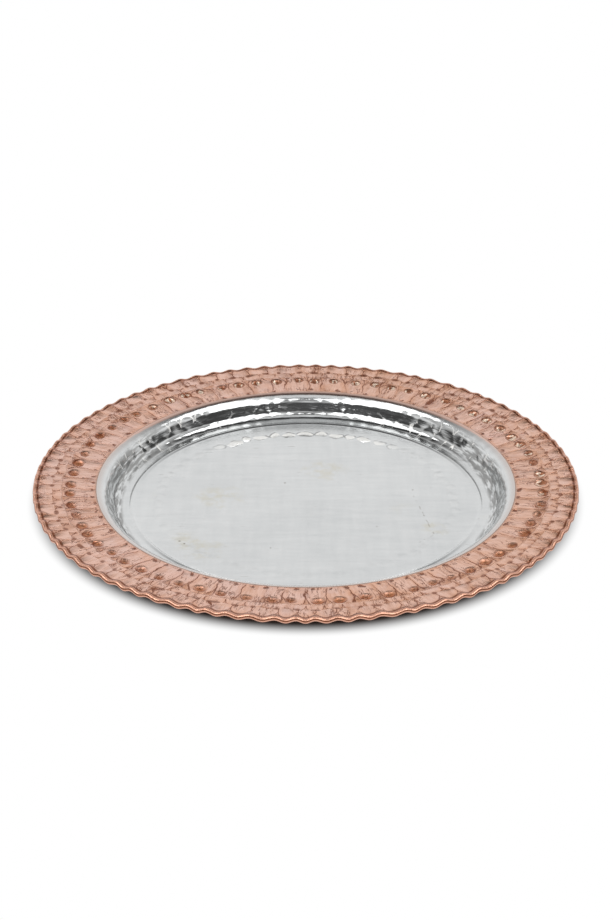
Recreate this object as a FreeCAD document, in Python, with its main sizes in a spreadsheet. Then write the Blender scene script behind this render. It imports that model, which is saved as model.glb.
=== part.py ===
"""Hammered copper tray with a tinned well and a fluted, wired edge.

A round tray raised from one sheet of copper.  The sheet forms a flat floor with a pressed ring,
a leaning wall, a rounded shoulder and a wide rim that climbs gently outwards.  Its margin is
hammered into flutes and rolled up around a wire, and the well is wiped with tin.

The origin is the centre of the underside and +Z points up.  Lengths are millimetres.
"""
import FreeCAD
import Part

import math
import os

import Sketcher

# Driving sizes: name, value, meaning.
DRIVING_SIZES = [
    ("tray_diameter", 320.0, "across the outermost points of the scalloped edge"),
    ("sheet_gauge", 0.7, "thickness of the copper sheet"),
    ("rim_width", 41.6, "mouth of the well to the outer edge"),
    ("rim_lift", 3.2, "rise of the rim from the mouth to the outer edge"),
    ("well_depth", 12.75, "floor up to the rim at the mouth"),
    ("wall_lean", 6.4, "how much wider the well is at its mouth than at its floor, on each side"),
    ("corner_radius", 6.5, "inside rounding between floor and wall"),
    ("shoulder_radius", 7.7, "rounding under the shoulder between wall and rim"),
    ("ring_inset", 8.7, "middle of the ring pressed up in the floor, in from the wall"),
    ("ring_width", 3.2, "width of the pressed ring"),
    ("ring_rise", 0.6, "height of the pressed ring"),
    ("tin_thickness", 0.1, "thickness of the tin coat"),
    ("margin_gap", 2.85, "smooth rim between the shoulder and the margin's flats"),
    ("margin_lap", 1.5, "how far the margin runs into the sheet beside it"),
    ("margin_relief", 0.03, "how much thinner each face of the margin is beaten"),
    ("flute_count", 86, "flutes around the margin, one on each flat"),
    ("flute_length", 11.2, "inner end of the flutes to the outer edge"),
    ("scallop_height", 1.7, "height of a crest over the pan beside it"),
    ("scallop_reach", 0.6, "how much further out a pan stands than a crest"),
    ("wire_gauge", 1.2, "diameter of the wire in the rolled edge"),
    ("wire_clearance", 0.03, "play between the wire and the curl"),
]

# Sizes that follow from the driving ones: name, formula.
DERIVED_SIZES = [
    ("outer_radius", "=tray_diameter / 2"),
    ("mouth_radius", "=outer_radius - rim_width"),
    ("floor_radius", "=mouth_radius - wall_lean"),
    ("wall_angle", "=atan(well_depth / wall_lean)"),
    ("rim_slope", "=rim_lift / rim_width"),
    ("rim_angle", "=atan(rim_slope)"),
    ("rim_stack", "=sheet_gauge / cos(rim_angle)"),
    # Centres of the two roundings, below the shoulder and above the corner of the floor.
    ("mouth_height", "=sheet_gauge + well_depth"),
    ("shoulder_outer", "=shoulder_radius + sheet_gauge"),
    ("shoulder_spread", "=shoulder_outer / cos((wall_angle - rim_angle) / 2)"),
    ("shoulder_centre", "=mouth_radius + shoulder_spread * sin((wall_angle + rim_angle) / 2)"),
    ("shoulder_level", "=mouth_height - shoulder_spread * cos((wall_angle + rim_angle) / 2)"),
    ("corner_centre", "=floor_radius - corner_radius * tan(wall_angle / 2)"),
    ("corner_level", "=sheet_gauge + corner_radius"),
    # Pressed ring and the inner limit of the margin.
    ("ring_radius", "=floor_radius - ring_inset"),
    ("ring_inner_radius", "=ring_radius - ring_width / 2"),
    ("ring_outer_radius", "=ring_radius + ring_width / 2"),
    ("ring_top_height", "=sheet_gauge + ring_rise"),
    ("shoulder_end_radius", "=shoulder_centre - shoulder_outer * sin(rim_angle)"),
    ("margin_start_radius", "=shoulder_end_radius + margin_gap"),
    ("flute_start_radius", "=outer_radius - flute_length"),
    ("margin_height", "=mouth_height + rim_slope * (margin_start_radius - mouth_radius)"),
    ("under_margin_height", "=margin_height - rim_stack"),
    # Upper face of the tin.
    ("tin_floor_height", "=sheet_gauge + tin_thickness"),
    ("tin_ring_height", "=ring_top_height + tin_thickness"),
    # Rolled edge.
    ("curl_bore_radius", "=wire_gauge / 2 + wire_clearance"),
    ("curl_outer_radius", "=curl_bore_radius + sheet_gauge"),
    ("bead_radius", "=outer_radius - curl_outer_radius - scallop_reach / 2"),
    ("bead_height", "=mouth_height + rim_slope * (bead_radius - mouth_radius) - rim_stack / 2"),
]

# The sheet's corners are worked in flat bands: their number across the corner of the floor and
# across the shoulder.
CORNER_BANDS = 2
SHOULDER_BANDS = 2

# Faces of the sheet and of its coat, each with its height over the sheet's underside.
FACE_LEVELS = {
    "under": "0",
    "upper": "sheet_gauge",
    "tin": "(sheet_gauge + tin_thickness)",
}

# Angles around the wire, in degrees from straight out: the curl leaves the rim at its first angle
# and closes over the top, the outside and the underside to its last.
CURL_START = 160.0
CURL_END = -140.0
CURL_OUTER_SIDES = 5
CURL_BORE_SIDES = 4

doc = FreeCAD.newDocument("hammered_copper_tray")
sizes = doc.addObject("Spreadsheet::Sheet", "sizes")


def band_sizes():
    """Formulas for the ends of the bands, on each face of the sheet and of its coat."""
    formulas = []
    for face, level in FACE_LEVELS.items():
        for end in range(CORNER_BANDS + 1):
            turn = f"wall_angle * {end} / {CORNER_BANDS}"
            reach = f"(corner_level - {level})"
            formulas.append((f"{face}_corner_{end}_radius", f"=corner_centre + {reach} * sin({turn})"))
            formulas.append((f"{face}_corner_{end}_height", f"=corner_level - {reach} * cos({turn})"))
        for end in range(SHOULDER_BANDS + 1):
            turn = f"(wall_angle + (rim_angle - wall_angle) * {end} / {SHOULDER_BANDS})"
            reach = f"(shoulder_radius + {level})"
            radius = f"=shoulder_centre - {reach} * sin({turn})"
            height = f"=shoulder_level + {reach} * cos({turn})"
            formulas.append((f"{face}_shoulder_{end}_radius", radius))
            formulas.append((f"{face}_shoulder_{end}_height", height))
    return formulas


def fill_sheet():
    """Write the driving sizes and the ones that follow from them, one row each."""
    rows = [(name, repr(value), meaning) for name, value, meaning in DRIVING_SIZES]
    rows += [(name, formula, "") for name, formula in DERIVED_SIZES + band_sizes()]
    for row, (name, content, meaning) in enumerate(rows, start=1):
        sizes.set(f"A{row}", name)
        sizes.set(f"B{row}", content)
        sizes.setAlias(f"B{row}", name)
        sizes.set(f"C{row}", meaning)
    doc.recompute()


def size(name):
    """Value of a named cell."""
    return float(sizes.get(name))


def polar(radius, height, angle):
    """Point at a radius and height, turned by an angle in radians about the tray's axis."""
    return FreeCAD.Vector(radius * math.cos(angle), radius * math.sin(angle), height)


def new_body(label):
    """Empty body with its own label."""
    body = doc.addObject("PartDesign::Body", label)
    body.Label = label
    return body


def bind_corner(sketch, line, direction, name):
    """Hold the first point of a line on an axis, or at the distance that a cell gives."""
    if name is None:
        axis = -2 if direction == "DistanceX" else -1
        sketch.addConstraint(Sketcher.Constraint("PointOnObject", line, 1, axis))
        return
    constraint = Sketcher.Constraint(direction, -1, 1, line, 1, size(name))
    index = sketch.addConstraint(constraint)
    sketch.setExpression(f"Constraints[{index}]", f"sizes.{name}")


def profile_sketch(body, name, corners):
    """Closed outline on the body's XZ plane.

    Each corner is the cell of its radius and the cell of its height; None stands for zero.
    """
    plane = next(item for item in body.Origin.OriginFeatures if item.Role == "XZ_Plane")
    sketch = body.newObject("Sketcher::SketchObject", name)
    sketch.AttachmentSupport = (plane, [""])
    sketch.MapMode = "FlatFace"
    points = []
    for radius_name, height_name in corners:
        radius = size(radius_name) if radius_name else 0.0
        height = size(height_name) if height_name else 0.0
        points.append(FreeCAD.Vector(radius, height, 0))
    count = len(points)
    for line in range(count):
        sketch.addGeometry(Part.LineSegment(points[line], points[(line + 1) % count]))
    for line in range(count):
        sketch.addConstraint(Sketcher.Constraint("Coincident", line, 2, (line + 1) % count, 1))
    for line, (radius_name, height_name) in enumerate(corners):
        bind_corner(sketch, line, "DistanceX", radius_name)
        bind_corner(sketch, line, "DistanceY", height_name)
    return sketch


def revolve_profile(body, name, corners):
    """Turn an outline once around the tray's axis."""
    sketch = profile_sketch(body, name + "_outline", corners)
    turned = body.newObject("PartDesign::Revolution", name)
    turned.Profile = sketch
    turned.ReferenceAxis = (sketch, ["V_Axis"])
    turned.Angle = 360.0
    sketch.Visibility = False
    doc.recompute()
    return turned


def banded_wall(face):
    """Corners of a face from the floor up the wall and over the shoulder."""
    corners = []
    for end in range(CORNER_BANDS + 1):
        corners.append((f"{face}_corner_{end}_radius", f"{face}_corner_{end}_height"))
    for end in range(SHOULDER_BANDS + 1):
        corners.append((f"{face}_shoulder_{end}_radius", f"{face}_shoulder_{end}_height"))
    return corners


def build_dish():
    """Floor, pressed ring, wall, shoulder and rim, turned from one outline."""
    body = new_body("dish")
    corners = [
        (None, None),
        ("ring_inner_radius", None),
        ("ring_radius", "ring_rise"),
        ("ring_outer_radius", None),
        ("under_corner_0_radius", None),
        *banded_wall("under")[1:],
        ("margin_start_radius", "under_margin_height"),
        ("margin_start_radius", "margin_height"),
        *reversed(banded_wall("upper")),
        ("ring_outer_radius", "sheet_gauge"),
        ("ring_radius", "ring_top_height"),
        ("ring_inner_radius", "sheet_gauge"),
        (None, "sheet_gauge"),
    ]
    revolve_profile(body, "raised_sheet", corners)
    return body


def wave(step):
    """Crest at even steps around the edge, pan at odd ones."""
    return 1.0 if step % 2 == 0 else -1.0


def edge_point(offset_out, offset_up, step):
    """Point at an offset from the wavy line that the wire follows."""
    radius = size("bead_radius") - size("scallop_reach") / 2 * wave(step) + offset_out
    height = size("bead_height") + size("scallop_height") / 2 * wave(step) + offset_up
    return polar(radius, height, math.pi * step / int(size("flute_count")))


def edge_ring(offset_out, offset_up):
    """Closed wavy line through every crest and pan at one offset from the wire's line."""
    steps = 2 * int(size("flute_count"))
    points = [edge_point(offset_out, offset_up, step) for step in range(steps)]
    return Part.makePolygon(points + points[:1])


def arc_offsets(radius, first_angle, last_angle, sides):
    """Offsets of the corners of a many-sided arc around the wire."""
    offsets = []
    for side in range(sides + 1):
        angle = math.radians(first_angle + (last_angle - first_angle) * side / sides)
        offsets.append((radius * math.cos(angle), radius * math.sin(angle)))
    return offsets


def strips_between(rings):
    """Faces that join each ring to the next."""
    faces = []
    for ring, next_ring in zip(rings, rings[1:]):
        faces += Part.makeRuledSurface(ring, next_ring).Faces
    return faces


def flute_faces(start_height, edge_offset):
    """Three flat facets for each flute: its pan and a flank on each side of it."""
    flutes = int(size("flute_count"))
    faces = []
    for flute in range(flutes):
        step = 2 * flute
        start = polar(size("flute_start_radius"), start_height, math.pi * step / flutes)
        next_start = polar(size("flute_start_radius"), start_height, math.pi * (step + 2) / flutes)
        crest = edge_point(*edge_offset, step)
        pan = edge_point(*edge_offset, step + 1)
        next_crest = edge_point(*edge_offset, step + 2)
        for outline in ((start, crest, pan), (start, pan, next_start), (next_start, pan, next_crest)):
            faces.append(flat_face(*outline))
    return faces


def margin_level(radius, face):
    """Height of the upper or the under face of the margin's flats."""
    height = size("mouth_height") + size("rim_slope") * (radius - size("mouth_radius"))
    if face == "upper":
        return height - size("margin_relief")
    return height - size("rim_stack") + size("margin_relief")


def flat_face(*corners):
    """Flat facet with the given corners."""
    return Part.Face(Part.makePolygon([*corners, corners[0]]))


def margin_faces():
    """Flats of the margin, one above and one below for each flute, and its inner end."""
    flutes = int(size("flute_count"))
    inner = size("margin_start_radius") - size("margin_lap")
    outer = size("flute_start_radius")
    path = [(outer, "upper"), (inner, "upper"), (inner, "under"), (outer, "under")]
    levels = [(radius, margin_level(radius, face)) for radius, face in path]
    faces = []
    for flute in range(flutes):
        start = 2 * math.pi * flute / flutes
        end = 2 * math.pi * (flute + 1) / flutes
        for place, next_place in zip(levels, levels[1:]):
            corners = (polar(*place, start), polar(*next_place, start))
            next_corners = (polar(*next_place, end), polar(*place, end))
            faces.append(flat_face(*corners, *next_corners))
    return faces


def solid_from(faces):
    """Solid that a closed set of faces encloses."""
    skin = Part.makeCompound(faces)
    skin.sewShape()
    solid = Part.makeSolid(skin.Shells[0])
    if solid.Volume < 0:
        solid.reverse()
    return solid


def build_fluted_edge():
    """Fluted margin of the sheet, rolled around the wire, with an open seam below."""
    outside = arc_offsets(size("curl_outer_radius"), CURL_START, CURL_END, CURL_OUTER_SIDES)
    bore = arc_offsets(size("curl_bore_radius"), CURL_END, CURL_START, CURL_BORE_SIDES)
    throat = (-size("curl_bore_radius"), -size("sheet_gauge") / 2)
    faces = strips_between([edge_ring(*offset) for offset in [*outside, *bore, throat]])
    faces += flute_faces(margin_level(size("flute_start_radius"), "upper"), outside[0])
    faces += flute_faces(margin_level(size("flute_start_radius"), "under"), throat)
    faces += margin_faces()
    edge = doc.addObject("Part::Feature", "fluted_edge")
    edge.Label = "fluted_edge"
    edge.Shape = solid_from(faces)
    edge.Placement = FreeCAD.Placement()
    return edge


def build_copper_tray():
    """The sheet in one piece: dish and fluted edge."""
    tray = doc.addObject("Part::Fuse", "copper_tray")
    tray.Label = "copper_tray"
    tray.Base = build_dish()
    tray.Tool = build_fluted_edge()
    tray.Refine = False
    tray.Placement = FreeCAD.Placement()
    return tray


def build_rim_wire():
    """Wire inside the curl, following every crest and pan."""
    corners = arc_offsets(size("wire_gauge") / 2, CURL_START, CURL_END, CURL_BORE_SIDES)
    rings = [edge_ring(*corner) for corner in corners]
    faces = strips_between([*rings, rings[0]])
    wire = doc.addObject("Part::Feature", "rim_wire")
    wire.Label = "rim_wire"
    wire.Shape = solid_from(faces)
    wire.Placement = FreeCAD.Placement()
    return wire


def build_tin_lining():
    """Coat of tin over the floor, the wall and the shoulder, lying on the copper."""
    body = new_body("tin_lining")
    corners = [
        (None, "sheet_gauge"),
        ("ring_inner_radius", "sheet_gauge"),
        ("ring_radius", "ring_top_height"),
        ("ring_outer_radius", "sheet_gauge"),
        *banded_wall("upper"),
        *reversed(banded_wall("tin")),
        ("ring_outer_radius", "tin_floor_height"),
        ("ring_radius", "tin_ring_height"),
        ("ring_inner_radius", "tin_floor_height"),
        (None, "tin_floor_height"),
    ]
    revolve_profile(body, "tin_coat", corners)
    return body


def check_and_write(sub_parts):
    """Stop if anything failed to build, then write one STEP file for each sub-part."""
    for item in doc.Objects:
        if "Invalid" in item.State or "Error" in item.State:
            raise RuntimeError(f"{item.Label} did not build: {item.State}")
    for sub_part in sub_parts:
        if sub_part.Shape.isNull() or not sub_part.Shape.isValid():
            raise RuntimeError(f"{sub_part.Label} has no valid shape")
    os.makedirs("parts", exist_ok=True)
    for sub_part in sub_parts:
        sub_part.Shape.exportStep(os.path.join("parts", sub_part.Label + ".step"))
        print(sub_part.Label, round(sub_part.Shape.Volume, 2), len(sub_part.Shape.Solids), "solid")


fill_sheet()
finished = [build_copper_tray(), build_rim_wire(), build_tin_lining()]
doc.recompute()
check_and_write(finished)
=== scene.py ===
"""Hammered copper tray with a tinned well and a fluted, wired edge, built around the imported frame.

Everything is in metres, in the tray's own frame: the origin is the centre of the underside and +Z
points up.
"""
import logging
import math
import random
from dataclasses import dataclass, field, replace
from enum import Enum
from functools import reduce
from typing import Callable, ClassVar, Iterable, Sequence

import bmesh
import bpy
import numpy as np
from mathutils import Matrix, Vector


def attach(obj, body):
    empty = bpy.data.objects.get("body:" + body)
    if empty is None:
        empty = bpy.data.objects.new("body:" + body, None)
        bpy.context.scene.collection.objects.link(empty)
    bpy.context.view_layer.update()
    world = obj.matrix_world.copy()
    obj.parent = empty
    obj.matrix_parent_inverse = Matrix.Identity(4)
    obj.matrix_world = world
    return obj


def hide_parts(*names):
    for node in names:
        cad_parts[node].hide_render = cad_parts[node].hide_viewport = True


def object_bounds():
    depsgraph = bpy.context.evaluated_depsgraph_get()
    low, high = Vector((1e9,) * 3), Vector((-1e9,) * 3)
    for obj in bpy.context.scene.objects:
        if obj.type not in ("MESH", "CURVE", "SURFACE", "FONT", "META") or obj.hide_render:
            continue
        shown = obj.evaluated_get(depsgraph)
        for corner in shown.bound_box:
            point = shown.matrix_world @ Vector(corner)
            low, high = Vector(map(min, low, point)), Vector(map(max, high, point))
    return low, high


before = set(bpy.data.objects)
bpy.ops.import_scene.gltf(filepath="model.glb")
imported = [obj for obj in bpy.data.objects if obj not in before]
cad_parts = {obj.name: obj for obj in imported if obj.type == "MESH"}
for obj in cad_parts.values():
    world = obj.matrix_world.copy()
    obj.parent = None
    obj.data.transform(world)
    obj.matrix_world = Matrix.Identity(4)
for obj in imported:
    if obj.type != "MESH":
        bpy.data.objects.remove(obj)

LOG = logging.getLogger("copper_tray")
CAD_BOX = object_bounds()
TURN = 2.0 * math.pi
SECTORS = 10  # equal parts that a turned piece is made of
JOIN_DISTANCE = 1e-6
SHARP_ANGLE = math.radians(55)

Place = tuple[float, float]
Spot = tuple[float, float, float]
Array = np.ndarray
Colour = tuple[float, float, float, float]
WHITE: Colour = (1.0, 1.0, 1.0, 1.0)
BLACK: Colour = (0.0, 0.0, 0.0, 1.0)


def smooth(value: Array | float, low: float, high: float) -> Array | float:
    """Smooth step of a value from 0 at low to 1 at high."""
    share = np.clip((value - low) / (high - low), 0.0, 1.0)
    return share * share * (3.0 - 2.0 * share)


def steps(low: float, high: float, count: int) -> list[float]:
    """Evenly spaced values from low to high, both ends included."""
    return [low + (high - low) * index / count for index in range(count + 1)]


@dataclass(frozen=True)
class Points:
    """Points on the tray: distances from the axis, heights, and places around it in turns."""

    radius: Array
    height: Array
    share: Array


@dataclass(frozen=True)
class TraySizes:
    """Driving sizes of the tray, and the ones that follow from them."""

    outer_radius: float
    gauge: float = 0.0007
    tin: float = 0.0001
    rim_width: float = 0.0416
    rim_lift: float = 0.0032
    well_depth: float = 0.01275
    wall_lean: float = 0.0064
    corner_radius: float = 0.0065
    shoulder_radius: float = 0.0077
    ring_inset: float = 0.0087
    ring_width: float = 0.0036
    ring_rise: float = 0.00055
    punched_width: float = 0.0220
    hub_radius: float = 0.012
    flutes: int = 86
    flute_length: float = 0.0112
    scallop_height: float = 0.00135
    scallop_reach: float = 0.0003
    bead_thickness: float = 0.00258
    bead_drop: float = 0.0008
    wire_thickness: float = 0.00116

    @property
    def mouth_radius(self) -> float:
        """Where the wall would meet the rim without its rounding."""
        return self.outer_radius - self.rim_width

    @property
    def floor_radius(self) -> float:
        """Where the floor would meet the wall without its rounding."""
        return self.mouth_radius - self.wall_lean

    @property
    def mouth_height(self) -> float:
        """Height of the rim's upper face at the mouth."""
        return self.gauge + self.well_depth

    @property
    def wall_angle(self) -> float:
        """Steepness of the wall."""
        return math.atan2(self.well_depth, self.wall_lean)

    @property
    def rim_angle(self) -> float:
        """Steepness of the rim."""
        return math.atan2(self.rim_lift, self.rim_width)

    @property
    def corner_centre(self) -> Place:
        """Centre of the rounding between floor and wall."""
        reach = self.corner_radius * math.tan(self.wall_angle / 2)
        return self.floor_radius - reach, self.gauge + self.corner_radius

    @property
    def shoulder_centre(self) -> Place:
        """Centre of the rounding between wall and rim."""
        spread = (self.shoulder_radius + self.gauge) / math.cos((self.wall_angle - self.rim_angle) / 2)
        lean = (self.wall_angle + self.rim_angle) / 2
        return self.mouth_radius + spread * math.sin(lean), self.mouth_height - spread * math.cos(lean)

    @property
    def shoulder_end(self) -> float:
        """Radius at which the shoulder runs out onto the rim: the tin stops here."""
        reach = self.shoulder_radius + self.gauge
        return self.shoulder_centre[0] - reach * math.sin(self.rim_angle)

    @property
    def ring_radius(self) -> float:
        """Middle of the ring pressed up in the floor."""
        return self.floor_radius - self.ring_inset

    @property
    def bead_radius(self) -> float:
        """Mean radius of the wire's line."""
        return self.outer_radius - self.bead_thickness / 2 - self.scallop_reach / 2

    @property
    def bead_height(self) -> float:
        """Mean height of the wire's line."""
        half_gauge = self.gauge / math.cos(self.rim_angle) / 2
        return self.rim_height(self.bead_radius) - half_gauge - self.bead_drop

    @property
    def flute_start(self) -> float:
        """Inner end of the flutes."""
        return self.outer_radius - self.flute_length

    def rim_height(self, radius: float, level: float | None = None) -> float:
        """Height of a face of the rim.

        Args:
            radius: distance from the axis.
            level: height of the face over the underside; the upper face if left out.

        Returns:
            The height over the table.
        """
        level = self.gauge if level is None else level
        lift = self.rim_lift / self.rim_width * (radius - self.mouth_radius)
        return self.mouth_height + lift + (level - self.gauge) / math.cos(self.rim_angle)


class Drift:
    """A slow wander of a value that closes on itself around the tray."""

    def __init__(self, seed: int, fewest: int, most: int, lean: float, waves: int = 9) -> None:
        """Draw the waves that make it up.

        Args:
            seed: start of the random draw.
            fewest: fewest turns of a wave around the tray.
            most: most turns of a wave around the tray.
            lean: how fast a wave may turn with the radius, in radians a metre.
            waves: how many waves.
        """
        draw = random.Random(seed)
        self.waves = [
            (draw.randint(fewest, most), draw.uniform(0.0, TURN), draw.uniform(-lean, lean))
            for _ in range(waves)
        ]

    def at(self, share: Array, radius: Array | float) -> Array:
        """Value at places around the tray, about -1 to 1.

        Args:
            share: places around the tray, in turns.
            radius: distances from the axis.

        Returns:
            The values.
        """
        angle = TURN * share
        total = sum(np.sin(turns * angle + phase + lean * radius) for turns, phase, lean in self.waves)
        return total / math.sqrt(2.0 * len(self.waves))


class Row:
    """A row of hammered cells around the tray, each a little wider or narrower than the next."""

    def __init__(self, count: int, unevenness: float, seed: int) -> None:
        """Lay out the limits of the cells and how each was struck.

        Args:
            count: cells around the tray.
            unevenness: how far a limit may wander, as a share of a cell.
            seed: start of the random draw.
        """
        draw = random.Random(seed)
        self.count = count
        inner = [index + draw.uniform(-unevenness, unevenness) for index in range(1, count)]
        self.limits = np.array([0.0, *inner, float(count)])
        self.depths = np.array([draw.uniform(0.55, 1.3) for _ in range(count)])
        self.leans = np.array([draw.uniform(-1.0, 1.0) for _ in range(count)])
        self.twists = np.array([draw.uniform(-1.0, 1.0) for _ in range(count)])

    def locate(self, share: Array) -> tuple[Array, Array]:
        """Find the cells at places around the tray.

        Args:
            share: places around the tray, in turns.

        Returns:
            The cells' indices and the places inside them, from -1 to 1.
        """
        along = (share % 1.0) * self.count
        index = np.clip(np.searchsorted(self.limits, along, side="right") - 1, 0, self.count - 1)
        low, high = self.limits[index], self.limits[index + 1]
        return index, 2.0 * (along - low) / (high - low) - 1.0

    def struck(self, share: Array, across: Array, depth: float, lean: float) -> Array:
        """Shape left in each cell: a shallow bowl that leans at random.

        Args:
            share: places around the tray, in turns.
            across: places across the row, from -1 to 1.
            depth: depth of a middling bowl.
            lean: how far a cell's sides may tip up or down.

        Returns:
            Heights over the plain sheet.
        """
        index, place = self.locate(share)
        bowl = depth * self.depths[index] * (np.abs(place) ** 2.2 + 0.45 * across**2 - 0.75)
        inside = (1.0 - smooth(np.abs(place), 0.7, 1.0)) * (1.0 - smooth(np.abs(across), 0.75, 1.0))
        return bowl + lean * inside * (self.leans[index] * place + self.twists[index] * across)


@dataclass
class HammerWork:
    """Everything that the hammers and punches do to the plain sheet, as shifts of its surface."""

    sizes: TraySizes
    # Rows of cells: how many cells, where the rows part, and how their limits wander
    wide_count: int = 68
    wall_count: int = 76
    floor_count: int = 58
    plain_width: float = 0.0024
    wide_inset: float = 0.0245
    narrow_inset: float = 0.0196
    row_sway: float = 0.0007
    wander: float = 0.17
    wander_fade: float = 0.007
    # Marks on the rim
    pan_depth: float = 0.00026
    scale_depth: float = 0.00034
    lean: float = 0.00018
    flute_bend: float = 2.6
    dimple_depth: float = 0.0015
    dimple_radius: float = 0.0040
    dimple_inset: float = 0.0216
    dimple_flattening: float = 1.12
    punch_depth: float = 0.00016
    punch_reach: float = 0.24
    # Dents on the wall and the floor, and the floor's sweep up to the corner
    wall_depth: float = 0.00030
    wall_reach: float = 0.0050
    wall_rise: float = 0.62
    floor_depth: float = 0.00022
    floor_reach: float = 0.0034
    floor_inset: float = 0.0155
    floor_sway: float = 0.0010
    sweep_rise: float = 0.00020
    sweep_width: float = 0.0100
    sweep_height: float = 0.0095
    # Laid out from the numbers above
    outer_cells: Row = field(init=False)
    middle_cells: Row = field(init=False)
    inner_cells: Row = field(init=False)
    wall_upper: Row = field(init=False)
    wall_lower: Row = field(init=False)
    floor_cells: Row = field(init=False)
    side_drift: Drift = field(init=False)
    row_drift: Drift = field(init=False)
    dimples: Array = field(init=False)

    def __post_init__(self) -> None:
        """Lay out the rows of cells and the dimples."""
        self.outer_cells = Row(self.sizes.flutes, 0.12, 11)
        self.middle_cells = Row(self.sizes.flutes, 0.2, 15)
        self.inner_cells = Row(self.wide_count, 0.16, 12)
        self.wall_upper = Row(self.wall_count, 0.2, 13)
        self.wall_lower = Row(self.wall_count, 0.2, 16)
        self.floor_cells = Row(self.floor_count, 0.2, 17)
        self.side_drift = Drift(21, 24, 96, 420.0)
        self.row_drift = Drift(22, 20, 80, 60.0)
        draw = random.Random(14)
        ring = self.sizes.outer_radius - self.dimple_inset
        dimples = []
        for index in range(self.wide_count):
            share = (index + 0.5 + draw.uniform(-0.12, 0.12)) / self.wide_count
            dimples.append((share, ring + draw.uniform(-0.0008, 0.0008), draw.uniform(0.8, 1.12)))
        self.dimples = np.array(dimples)

    def row_edges(self) -> list[float]:
        """Radii that part the rows on the rim, from the tin outwards."""
        sizes = self.sizes
        return [
            sizes.shoulder_end,
            sizes.shoulder_end + self.plain_width,
            sizes.outer_radius - self.wide_inset,
            sizes.outer_radius - self.narrow_inset,
            sizes.flute_start,
            sizes.bead_radius - sizes.bead_thickness * 0.62,
        ]

    def strayed(self, at: Points) -> Array:
        """Places around the tray after the cells' limits wander in and out.

        Args:
            at: points on the rim.

        Returns:
            The places in turns, shifted a little.
        """
        fade = smooth(self.sizes.bead_radius - at.radius, 0.0, self.wander_fade)
        return at.share + self.wander * fade * self.side_drift.at(at.share, at.radius) / self.sizes.flutes

    def row_place(self, at: Points) -> Array:
        """Places across the rows: whole numbers are the limits between rows.

        Args:
            at: points on the rim.

        Returns:
            Numbers from 0 at the tin to 5 at the rolled edge.
        """
        shift = self.row_sway * self.row_drift.at(at.share, 0.0)
        first, *between, last = self.row_edges()
        edges = [first, *(edge + shift for edge in between), last]
        result = np.zeros_like(at.radius)
        for index, (low, high) in enumerate(zip(edges, edges[1:])):
            result = np.where(at.radius > low, index + (at.radius - low) / (high - low), result)
        return result

    def scallop(self, share: Array) -> Array:
        """Wave of the edge: 1 on a crest and -1 in a pan."""
        index, place = self.outer_cells.locate(share)
        return -np.cos(math.pi * place) * (0.78 + 0.22 * np.minimum(1.0, self.outer_cells.depths[index]))

    def dimple(self, at: Points) -> Array:
        """Depth of the dimples.

        Args:
            at: points on the rim.

        Returns:
            Depths as shares of a full dimple.
        """
        count = len(self.dimples)
        slot = ((at.share % 1.0) * count).astype(int)
        deepest = np.zeros_like(at.radius)
        for step in (-1, 0, 1):
            share, ring, scale = self.dimples[(slot + step) % count].T
            along = ((at.share - share + 0.5) % 1.0 - 0.5) * TURN * at.radius
            across = self.dimple_flattening * (at.radius - ring)
            away = np.hypot(along, across) / (self.dimple_radius * scale)
            deepest = np.maximum(deepest, np.clip(1.0 - away**2, 0.0, 1.0) * scale)
        return deepest

    def punched(self, at: Points) -> Array:
        """Depth of the smudged punch marks where two rows of cells meet.

        Args:
            at: points on the rim.

        Returns:
            Depths from 0 to 1.
        """
        along = np.abs((self.strayed(at) * self.sizes.flutes + 0.5) % 1.0 - 0.5) / self.punch_reach
        across = np.abs(self.row_place(at) - 4.0) / self.punch_reach
        index, _ = self.middle_cells.locate(at.share)
        depth = np.clip(self.middle_cells.depths[index], 0.0, 1.0)
        return depth * np.clip(1.0 - along**2 - across**2, 0.0, 1.0)

    def rim_shift(self, at: Points) -> tuple[Array, Array]:
        """Shift of the rim's surface.

        Args:
            at: points on the rim.

        Returns:
            The shifts outwards and the shifts upwards.
        """
        sizes, radius = self.sizes, at.radius
        bead_start = sizes.bead_radius - sizes.bead_thickness * 0.6
        flute_start = sizes.flute_start - 0.001
        flute = np.clip((radius - flute_start) / (bead_start - flute_start), 0.0, 1.0) ** self.flute_bend
        wave = self.scallop(at.share) * flute
        fade = smooth(radius, sizes.shoulder_end, sizes.shoulder_end + 0.002)
        fade = fade * (1.0 - smooth(radius, bead_start - 0.002, bead_start))
        strayed, rows = self.strayed(at), self.row_place(at)
        half_cell = 0.5 / self.middle_cells.count
        middle = 2.0 * (rows - np.floor(rows)) - 1.0
        inner_across = np.clip(2.0 * (rows - 1.0) / 1.6 - 1.0, -1.0, 1.0)
        outer = self.outer_cells.struck(strayed, middle, self.pan_depth, self.lean)
        between = self.middle_cells.struck(strayed + half_cell, middle, self.pan_depth, self.lean)
        inner = self.inner_cells.struck(strayed, inner_across, self.scale_depth, self.lean)
        on_outer = smooth(rows, 3.93, 4.07)
        on_inner = 1.0 - smooth(rows, 2.7, 3.05)
        cells = on_outer * outer + on_inner * inner + (1.0 - on_outer - on_inner) * between
        up = sizes.scallop_height / 2 * wave + fade * cells
        up = up - self.dimple_depth * self.dimple(at) - self.punch_depth * self.punched(at)
        return -sizes.scallop_reach / 2 * wave, up

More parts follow.
